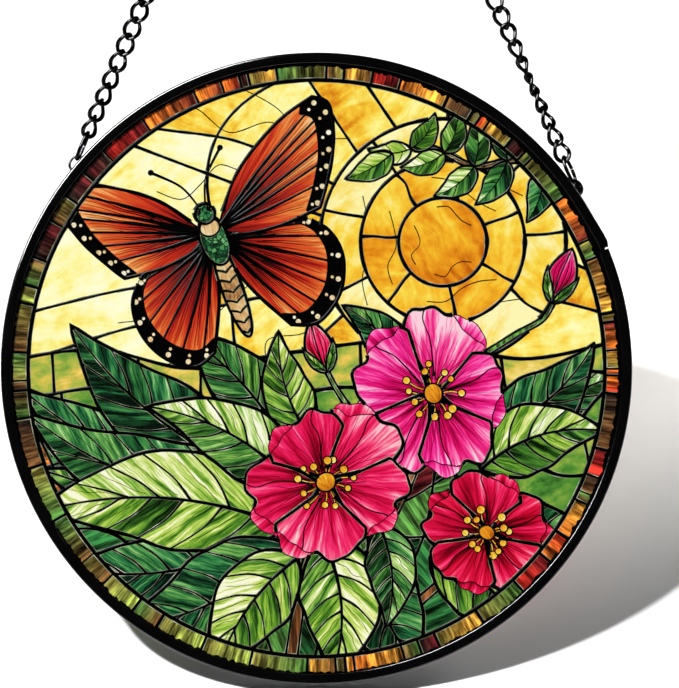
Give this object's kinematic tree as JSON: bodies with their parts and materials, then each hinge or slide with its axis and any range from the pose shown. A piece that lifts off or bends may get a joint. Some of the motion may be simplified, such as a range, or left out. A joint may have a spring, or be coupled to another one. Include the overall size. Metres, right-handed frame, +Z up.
{
  "type": "stained glass style suncatcher",
  "caption": "Round printed glass suncatcher in a black metal channel, hung from a small ring on two strands of curb chain.",
  "frame": {"origin": "the highest point inside the hanging ring, where the hook bears", "axes": "+Z up along the hang, -Y out of the printed face towards the viewer, +X to the viewer's right"},
  "size_m": [0.2, 0.0064, 0.352],
  "materials": {
    "black_paint": "satin black paint",
    "black_chain": "glossy black plating, bright on the high spots",
    "printed_glass": "glass printed all over in glossy translucent colours between black lines"
  },
  "bodies": {
    "root": {"frame_ring": "black_paint", "pane": "printed_glass", "eyelet_left": "black_paint", "eyelet_right": "black_paint", "jump_link_left": "black_chain", "jump_link_right": "black_chain", "chain_left": "black_chain", "chain_right": "black_chain", "hang_ring": "black_chain"}
  },
  "joints": []
}
